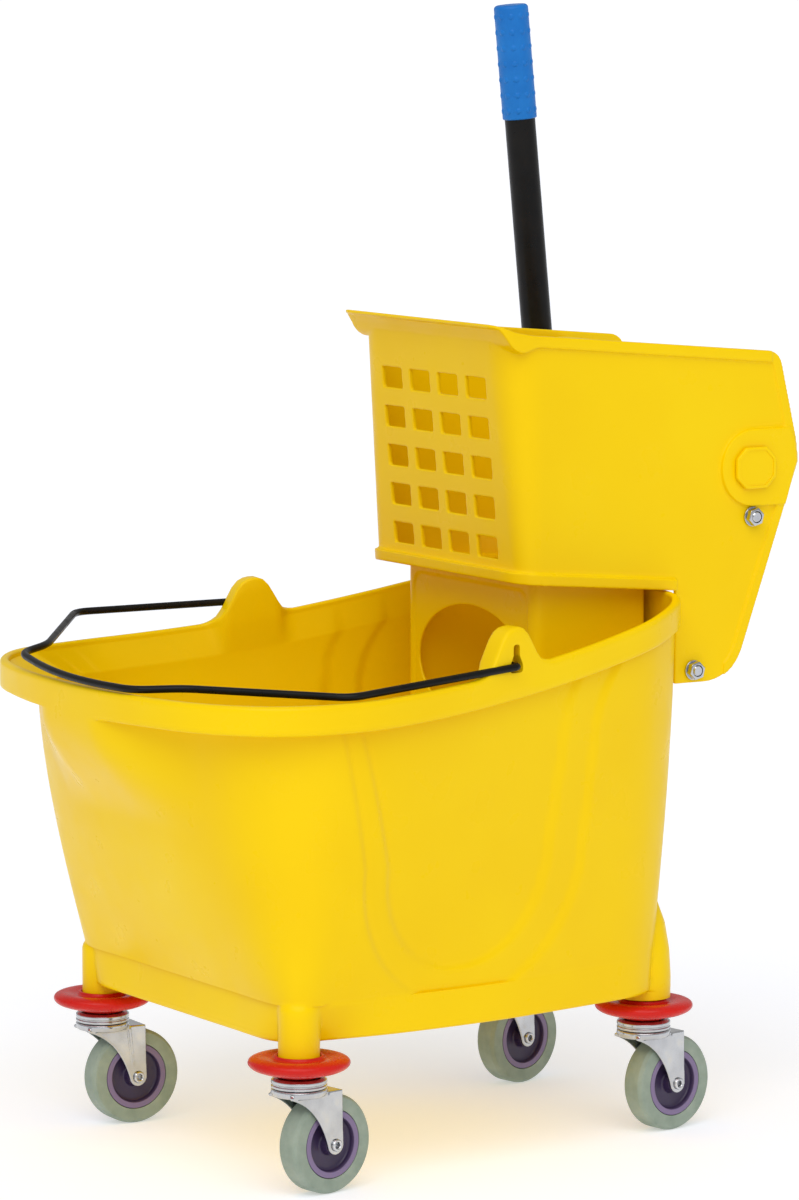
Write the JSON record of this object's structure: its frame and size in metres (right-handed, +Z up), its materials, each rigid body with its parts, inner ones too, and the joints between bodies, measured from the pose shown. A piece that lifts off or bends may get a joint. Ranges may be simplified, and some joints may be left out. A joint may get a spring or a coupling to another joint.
{
  "type": "mop bucket with side-press wringer",
  "caption": "Wheeled plastic mop bucket with a lift-off side-press wringer: a tall lever drives a hinged press plate; wire bail, swivel casters with round bumpers.",
  "frame": {"origin": "middle of the object's bounding box in plan, on the floor that the casters stand on", "axes": "+Z up, +Y towards the wringer end, -Y towards the pouring end, X across the width; the lever is on the -X side"},
  "size_m": [0.434, 0.6062, 0.8867],
  "materials": {
    "yellow_plastic": "glossy injection-moulded polypropylene",
    "red_vinyl": "semi-gloss moulded vinyl",
    "black_wire": "black-coated steel wire",
    "black_tube": "satin black powder coat on steel tube",
    "blue_grip": "moulded soft grip with rows of nubs",
    "zinc_plate": "bright zinc plate on stamped steel",
    "bright_steel": "bright steel",
    "grey_tyre": "non-marking grey-green rubber",
    "purple_hub": "moulded purple plastic",
    "dark_gear": "black glass-filled nylon"
  },
  "bodies": {
    "bucket": {"bucket_tub": "yellow_plastic", "bumper_front_near": "red_vinyl", "bumper_front_far": "red_vinyl", "bumper_rear_near": "red_vinyl", "bumper_rear_far": "red_vinyl", "caster_stem_front_near": "zinc_plate", "caster_stem_front_far": "zinc_plate", "caster_stem_rear_near": "zinc_plate", "caster_stem_rear_far": "zinc_plate"},
    "swivel_front_near": {"caster_fork_front_near": "zinc_plate", "axle_rivet_front_near": "bright_steel"},
    "swivel_front_far": {"caster_fork_front_far": "zinc_plate", "axle_rivet_front_far": "bright_steel"},
    "swivel_rear_near": {"caster_fork_rear_near": "zinc_plate", "axle_rivet_rear_near": "bright_steel"},
    "swivel_rear_far": {"caster_fork_rear_far": "zinc_plate", "axle_rivet_rear_far": "bright_steel"},
    "wheel_front_near": {"wheel_hub_front_near": "purple_hub", "wheel_tyre_front_near": "grey_tyre"},
    "wheel_front_far": {"wheel_hub_front_far": "purple_hub", "wheel_tyre_front_far": "grey_tyre"},
    "wheel_rear_near": {"wheel_hub_rear_near": "purple_hub", "wheel_tyre_rear_near": "grey_tyre"},
    "wheel_rear_far": {"wheel_hub_rear_far": "purple_hub", "wheel_tyre_rear_far": "grey_tyre"},
    "bail": {"bail_handle": "black_wire"},
    "wringer": {"wringer_casing": "yellow_plastic", "upper_tie_bolt": "zinc_plate", "upper_tie_nut": "zinc_plate", "plate_hinge_bolt": "zinc_plate", "plate_hinge_nut": "zinc_plate"},
    "press": {"press_plate": "yellow_plastic"},
    "lever": {"cross_shaft": "bright_steel", "drive_pinion_near": "dark_gear", "drive_pinion_far": "dark_gear", "shaft_cap": "yellow_plastic", "lever_socket": "black_tube", "lever_tube": "black_tube", "lever_grip": "blue_grip"}
  },
  "joints": [
    {"name": "front_near_swivel", "type": "hinge", "parent": "bucket", "child": "swivel_front_near", "pos_m": [0.15, -0.1858, 0.084], "axis": [0, 0, 1], "continuous": true},
    {"name": "front_far_swivel", "type": "hinge", "parent": "bucket", "child": "swivel_front_far", "pos_m": [-0.15, -0.1858, 0.084], "axis": [0, 0, 1], "continuous": true},
    {"name": "rear_near_swivel", "type": "hinge", "parent": "bucket", "child": "swivel_rear_near", "pos_m": [0.106, 0.1602, 0.084], "axis": [0, 0, 1], "continuous": true},
    {"name": "rear_far_swivel", "type": "hinge", "parent": "bucket", "child": "swivel_rear_far", "pos_m": [-0.106, 0.1602, 0.084], "axis": [0, 0, 1], "continuous": true},
    {"name": "front_near_wheel_spin", "type": "hinge", "parent": "swivel_front_near", "child": "wheel_front_near", "pos_m": [0.14596, -0.16113, 0.0381], "axis": [0.9869, 0.1616, 0], "continuous": true},
    {"name": "front_far_wheel_spin", "type": "hinge", "parent": "swivel_front_far", "child": "wheel_front_far", "pos_m": [-0.1486, -0.16084, 0.0381], "axis": [0.9984, -0.0558, 0], "continuous": true},
    {"name": "rear_near_wheel_spin", "type": "hinge", "parent": "swivel_rear_near", "child": "wheel_rear_near", "pos_m": [0.10252, 0.18496, 0.0381], "axis": [0.9903, 0.1392, 0], "continuous": true},
    {"name": "rear_far_wheel_spin", "type": "hinge", "parent": "swivel_rear_far", "child": "wheel_rear_far", "pos_m": [-0.11069, 0.18476, 0.0381], "axis": [0.9823, 0.1874, 0], "continuous": true},
    {"name": "bail_swing", "type": "hinge", "parent": "bucket", "child": "bail", "pos_m": [0, -0.0228, 0.4004], "axis": [-0.9998, 0, 0.0219], "range_deg": [0, 95]},
    {"name": "wringer_lift", "type": "slide", "parent": "bucket", "child": "wringer", "axis": [0, 0, 1], "range_m": [0, 0.18]},
    {"name": "lever_swing", "type": "hinge", "parent": "wringer", "child": "lever", "pos_m": [0, 0.2587, 0.5245], "axis": [1, 0, 0], "range_deg": [-90, 0]},
    {"name": "press_plate_swing", "type": "hinge", "parent": "wringer", "child": "press", "pos_m": [0, 0.2027, 0.367], "axis": [1, 0, 0], "range_deg": [0, 13.7]}
  ],
  "couplings": [
    {"joint": "press_plate_swing", "follows": "lever_swing", "ratio": -0.15156}
  ]
}
